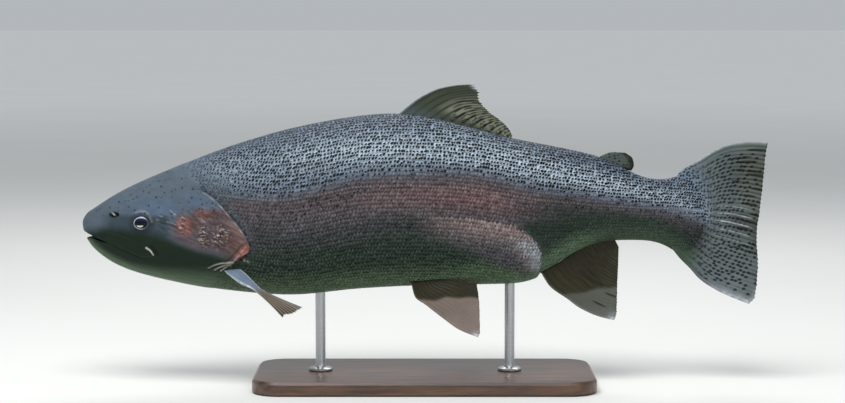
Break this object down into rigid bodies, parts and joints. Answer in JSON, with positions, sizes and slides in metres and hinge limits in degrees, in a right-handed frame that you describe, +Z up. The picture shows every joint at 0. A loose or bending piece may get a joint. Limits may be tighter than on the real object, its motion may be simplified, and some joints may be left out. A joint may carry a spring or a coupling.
{
  "type": "rainbow trout display model",
  "caption": "Life-size still model of an adult rainbow trout swimming level, with slightly open mouth, spread tail and raised dorsal fin, on a plain stand with a flat base and rods.",
  "frame": {"origin": "middle of the stand base's underside, with the fish centred over it from snout to tail", "axes": "+X runs from the snout towards the tail, +Z is up, and the fish's left side faces -Y"},
  "size_m": [0.6849, 0.15, 0.303],
  "materials": {
    "skin_head": "wet satin skin, blue-grey with a rosy gill cover",
    "skin_body": "wet satin skin under scales, blue-grey back, mauve-pink band, green-grey belly",
    "scales": "small glossy scales with dark spots",
    "fin": "satin rayed fin, olive-brown to pinkish grey, spotted",
    "eye": "polished, silvery iris and black pupil",
    "stand_wood": "satin dark-stained wood",
    "stand_metal": "brushed"
  },
  "bodies": {
    "root": {"head": "skin_head", "lower_jaw": "skin_head", "maxilla_left": "skin_head", "maxilla_right": "skin_head", "gill_cover_left": "skin_head", "gill_cover_right": "skin_head", "eye_left": "eye", "eye_right": "eye", "trunk": "skin_body", "tail_stalk": "skin_body", "fin_dorsal": "fin", "fin_adipose": "fin", "fin_anal": "fin", "fin_caudal": "fin", "fin_pelvic_left": "fin", "fin_pelvic_right": "fin", "fin_pectoral_left": "fin", "fin_pectoral_right": "fin", "stand_base": "stand_wood", "stand_rod_front": "stand_metal", "stand_rod_rear": "stand_metal"}
  },
  "joints": []
}
